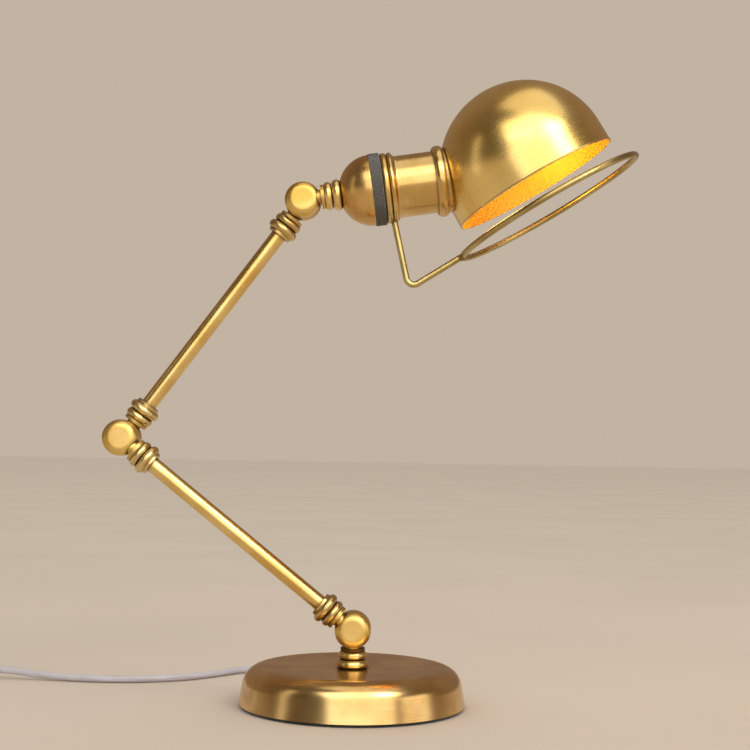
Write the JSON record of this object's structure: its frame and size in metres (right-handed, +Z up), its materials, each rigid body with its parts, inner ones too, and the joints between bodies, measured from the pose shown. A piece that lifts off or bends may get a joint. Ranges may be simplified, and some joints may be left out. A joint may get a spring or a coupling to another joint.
{
  "type": "desk lamp",
  "caption": "Swing arm desk lamp with a round weighted base, jointed tube arms and a domed shade with a wire guard and handle, on a mains cord.",
  "frame": {"origin": "middle of the base pad's underside, on the surface the lamp stands on", "axes": "+Z up, +X the way the head reaches, -Y towards the side the lower arm and head are on"},
  "size_m": [0.5767, 0.3246, 0.4181],
  "materials": {
    "satin_brass": "satin",
    "aged_brass": "satin",
    "dark_knurl": "satin",
    "cast_iron": "rough",
    "steel": "satin",
    "pad_felt": "matte",
    "fibre": "matte",
    "clear_cord": "gloss",
    "white_plastic": "gloss",
    "switch_key": "gloss",
    "blade_metal": "polished",
    "wire_insulation": "satin",
    "porcelain": "gloss",
    "contact_brass": "satin",
    "cap_metal": "satin",
    "bulb_glow": "frosted"
  },
  "bodies": {
    "base": {"base_shell": "satin_brass", "base_weight": "cast_iron", "base_plate": "steel", "plate_screws": "steel", "base_pad": "pad_felt", "swivel_bushing": "satin_brass", "cord_bushing": "clear_cord", "lamp_lead": "clear_cord", "switch_base": "white_plastic", "switch_cover": "white_plastic", "switch_lead": "clear_cord", "cord_coil": "clear_cord", "plug_lead": "clear_cord", "plug_body": "white_plastic", "plug_blades": "blade_metal"},
    "switch_rocker": {"switch_rocker": "switch_key"},
    "stem": {"stem_knuckle": "satin_brass", "stem_ring": "satin_brass", "stem_pivot": "steel", "stem_washer": "fibre", "stem_pivot_nut": "steel", "stem_cap": "satin_brass", "swivel_nut": "steel"},
    "lower_arm": {"lower_arm_base_knuckle": "satin_brass", "lower_arm_elbow_knuckle": "satin_brass", "lower_arm_tube": "satin_brass", "lower_arm_wires": "wire_insulation", "lower_arm_rings": "satin_brass", "lower_arm_tube_sockets": "satin_brass", "lower_arm_caps": "satin_brass"},
    "upper_arm": {"upper_arm_elbow_knuckle": "satin_brass", "upper_arm_head_knuckle": "satin_brass", "upper_arm_tube": "satin_brass", "upper_arm_wires": "wire_insulation", "upper_arm_rings": "satin_brass", "upper_arm_tube_sockets": "satin_brass", "upper_arm_caps": "satin_brass", "upper_arm_pivots": "steel", "upper_arm_washers": "fibre", "upper_arm_pivot_nuts": "steel"},
    "head": {"head_knuckle": "satin_brass", "head_cap": "satin_brass", "head_inner_ring": "satin_brass", "head_outer_ring": "satin_brass", "socket_cup": "satin_brass", "cup_nut": "steel", "knurled_ring": "dark_knurl", "guard_clamp_ring": "satin_brass", "socket_sleeve": "satin_brass", "lamp_holder": "porcelain", "holder_screw_shell": "contact_brass", "holder_contact": "contact_brass", "bulb_cap": "cap_metal", "bulb_glass": "bulb_glow", "shade": "satin_brass", "shade_ring_nut": "satin_brass", "guard_handle": "aged_brass", "guard_ring": "aged_brass"}
  },
  "joints": [
    {"name": "base_swivel", "type": "hinge", "parent": "base", "child": "stem", "pos_m": [0, 0, 0.0307], "axis": [0, 0, 1], "range_deg": [-170, 170]},
    {"name": "base_tilt", "type": "hinge", "parent": "stem", "child": "lower_arm", "pos_m": [0, -0.006, 0.0509], "axis": [0, 1, 0], "range_deg": [-20, 60]},
    {"name": "elbow", "type": "hinge", "parent": "lower_arm", "child": "upper_arm", "pos_m": [-0.15643, -0.006, 0.17488], "axis": [0, -1, 0], "range_deg": [-30, 87]},
    {"name": "head_tilt", "type": "hinge", "parent": "upper_arm", "child": "head", "pos_m": [-0.03882, -0.006, 0.33616], "axis": [0, -1, 0], "range_deg": [-65, 110]},
    {"name": "switch_rock", "type": "hinge", "parent": "base", "child": "switch_rocker", "pos_m": [-0.311, 0.084, 0.012], "axis": [0, 1, 0], "range_deg": [0, 12]}
  ]
}
